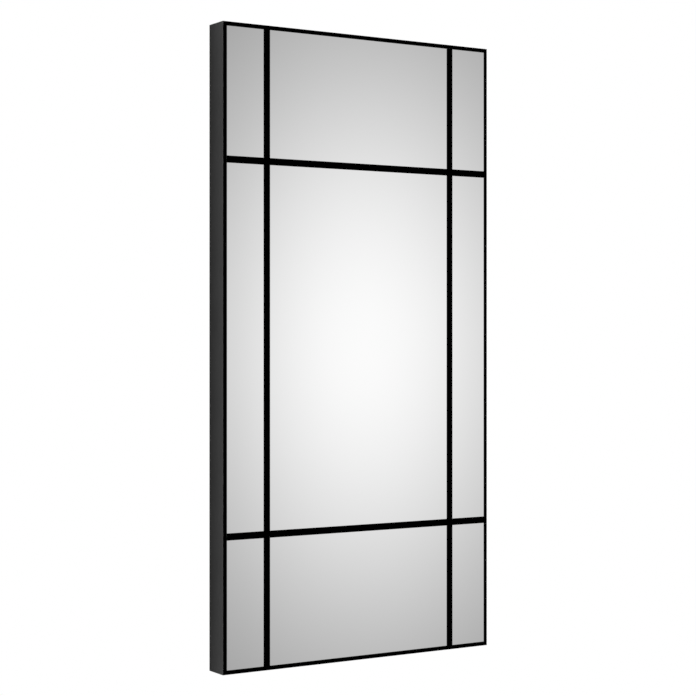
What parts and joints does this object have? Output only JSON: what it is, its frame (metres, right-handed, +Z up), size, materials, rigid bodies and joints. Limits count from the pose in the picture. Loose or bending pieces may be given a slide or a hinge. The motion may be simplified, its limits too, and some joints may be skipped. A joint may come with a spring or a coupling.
{
  "type": "wall mirror",
  "caption": "Tall wall mirror in a deep black box frame, with a grid of flat bars on the glass and sliding keyhole hangers behind.",
  "frame": {"origin": "in the wall plane, midway between the round entries of the two keyhole hangers, which is 42 mm below the top edge and on the mirror's centre line", "axes": "+X to the right as seen from in front, +Y into the wall, +Z up; the mirror looks along -Y"},
  "size_m": [0.6, 0.0565, 1.2],
  "materials": {
    "black_powder_coat": "matte black powder coat on extruded aluminium",
    "silvered_glass": "silvered float glass",
    "black_bar_tape": "thin acrylic mounting tape",
    "foam_tape": "closed-cell foam tape",
    "hardboard": "smooth-faced hardboard",
    "setting_block_rubber": "matte",
    "spring_steel": "blued spring steel",
    "zinc_plated_steel": "bright zinc plate",
    "screw_steel": "black oxide",
    "pad_felt": "self-adhesive felt"
  },
  "bodies": {
    "mirror": {"back_board": "hardboard", "bottom_rail": "black_powder_coat", "corner_aligner_bottom_left": "zinc_plated_steel", "corner_aligner_bottom_right": "zinc_plated_steel", "corner_aligner_top_left": "zinc_plated_steel", "corner_aligner_top_right": "zinc_plated_steel", "corner_grub_screws": "screw_steel", "corner_plate_bottom_left": "zinc_plated_steel", "corner_plate_bottom_right": "zinc_plated_steel", "corner_plate_top_left": "zinc_plated_steel", "corner_plate_top_right": "zinc_plated_steel", "horizontal_bar_bottom_left": "black_powder_coat", "horizontal_bar_bottom_middle": "black_powder_coat", "horizontal_bar_bottom_right": "black_powder_coat", "horizontal_bar_tape_bottom": "black_bar_tape", "horizontal_bar_tape_top": "black_bar_tape", "horizontal_bar_top_left": "black_powder_coat", "horizontal_bar_top_middle": "black_powder_coat", "horizontal_bar_top_right": "black_powder_coat", "left_stile": "black_powder_coat", "lip_gasket": "foam_tape", "mirror_glass": "silvered_glass", "mirror_tape": "foam_tape", "right_stile": "black_powder_coat", "setting_blocks": "setting_block_rubber", "spring_clips_bottom": "spring_steel", "spring_clips_left": "spring_steel", "spring_clips_right": "spring_steel", "spring_clips_top": "spring_steel", "top_rail": "black_powder_coat", "vertical_bar_left": "black_powder_coat", "vertical_bar_right": "black_powder_coat", "vertical_bar_tape_left": "black_bar_tape", "vertical_bar_tape_right": "black_bar_tape", "wall_pad_left": "pad_felt", "wall_pad_right": "pad_felt"},
    "hanger_left": {"hanger_nut_bar_left": "zinc_plated_steel", "hanger_plate_left": "zinc_plated_steel", "hanger_screws_left": "screw_steel"},
    "hanger_right": {"hanger_nut_bar_right": "zinc_plated_steel", "hanger_plate_right": "zinc_plated_steel", "hanger_screws_right": "screw_steel"}
  },
  "joints": [
    {"name": "hanger_left_slide", "type": "slide", "parent": "mirror", "child": "hanger_left", "axis": [1, 0, 0], "range_m": [-0.045, 0.15]},
    {"name": "hanger_right_slide", "type": "slide", "parent": "mirror", "child": "hanger_right", "axis": [1, 0, 0], "range_m": [-0.15, 0.045]}
  ]
}
